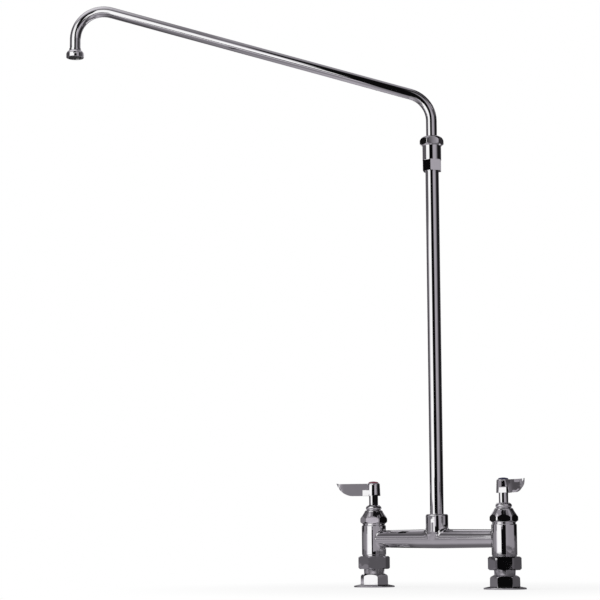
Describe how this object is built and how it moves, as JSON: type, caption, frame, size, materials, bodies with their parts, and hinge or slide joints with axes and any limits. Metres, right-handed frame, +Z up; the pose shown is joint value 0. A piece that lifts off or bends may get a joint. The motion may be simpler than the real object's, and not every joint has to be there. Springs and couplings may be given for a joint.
{
  "type": "deck-mount faucet",
  "caption": "Deck-mount mixing faucet: two lever-handled columns joined by a bridge, with a tall pipe riser and a long rising swing nozzle that ends in a turned-down outlet.",
  "frame": {"origin": "on the deck, midway between the two inlets", "axes": "+X from the hot inlet to the cold one, -Y towards the user, +Z up"},
  "size_m": [0.5068, 0.3374, 0.7492],
  "materials": {
    "polished_chrome": "polished",
    "turned_brass": "satin",
    "stainless_steel": "satin",
    "black_rubber": "matte",
    "valve_ceramic": "satin",
    "white_plastic": "satin",
    "black_plastic": "satin",
    "red_index": "gloss",
    "blue_index": "gloss"
  },
  "bodies": {
    "base": {"cold_bonnet": "polished_chrome", "cold_bonnet_washer": "white_plastic", "cold_cartridge_sleeve": "turned_brass", "cold_coupling_nut": "polished_chrome", "cold_fixed_disc": "valve_ceramic", "cold_inlet_flange": "polished_chrome", "cold_packing_nut": "polished_chrome", "cold_packing_ring": "white_plastic", "cold_seat_seal": "black_rubber", "cold_union_washer": "black_rubber", "hot_bonnet": "polished_chrome", "hot_bonnet_washer": "white_plastic", "hot_cartridge_sleeve": "turned_brass", "hot_coupling_nut": "polished_chrome", "hot_fixed_disc": "valve_ceramic", "hot_inlet_flange": "polished_chrome", "hot_packing_nut": "polished_chrome", "hot_packing_ring": "white_plastic", "hot_seat_seal": "black_rubber", "hot_union_washer": "black_rubber", "riser_pipe": "polished_chrome", "swivel_body": "polished_chrome", "swivel_nut": "polished_chrome", "thrust_washer": "white_plastic", "valve_body": "polished_chrome"},
    "hot_handle": {"hot_moving_disc": "valve_ceramic", "hot_spindle": "polished_chrome", "hot_spindle_o_ring": "black_rubber", "hot_lever": "polished_chrome", "hot_handle_screw": "stainless_steel", "hot_index_button": "red_index"},
    "cold_handle": {"cold_moving_disc": "valve_ceramic", "cold_spindle": "polished_chrome", "cold_spindle_o_ring": "black_rubber", "cold_lever": "polished_chrome", "cold_handle_screw": "stainless_steel", "cold_index_button": "blue_index"},
    "nozzle": {"nozzle_tube": "polished_chrome", "nozzle_ferrule": "turned_brass", "nozzle_o_rings": "black_rubber", "retaining_washer": "white_plastic", "outlet_housing": "polished_chrome", "outlet_washer": "black_rubber", "stream_grid": "black_plastic", "snap_ring": "stainless_steel"}
  },
  "joints": [
    {"name": "hot_lever_turn", "type": "hinge", "parent": "base", "child": "hot_handle", "pos_m": [-0.1016, 0, 0.1164], "axis": [0, 0, 1], "range_deg": [0, 90]},
    {"name": "cold_lever_turn", "type": "hinge", "parent": "base", "child": "cold_handle", "pos_m": [0.1016, 0, 0.1164], "axis": [0, 0, 1], "range_deg": [-90, 0]},
    {"name": "nozzle_swing", "type": "hinge", "parent": "base", "child": "nozzle", "pos_m": [0, 0, 0.5656], "axis": [0, 0, 1], "continuous": true}
  ]
}
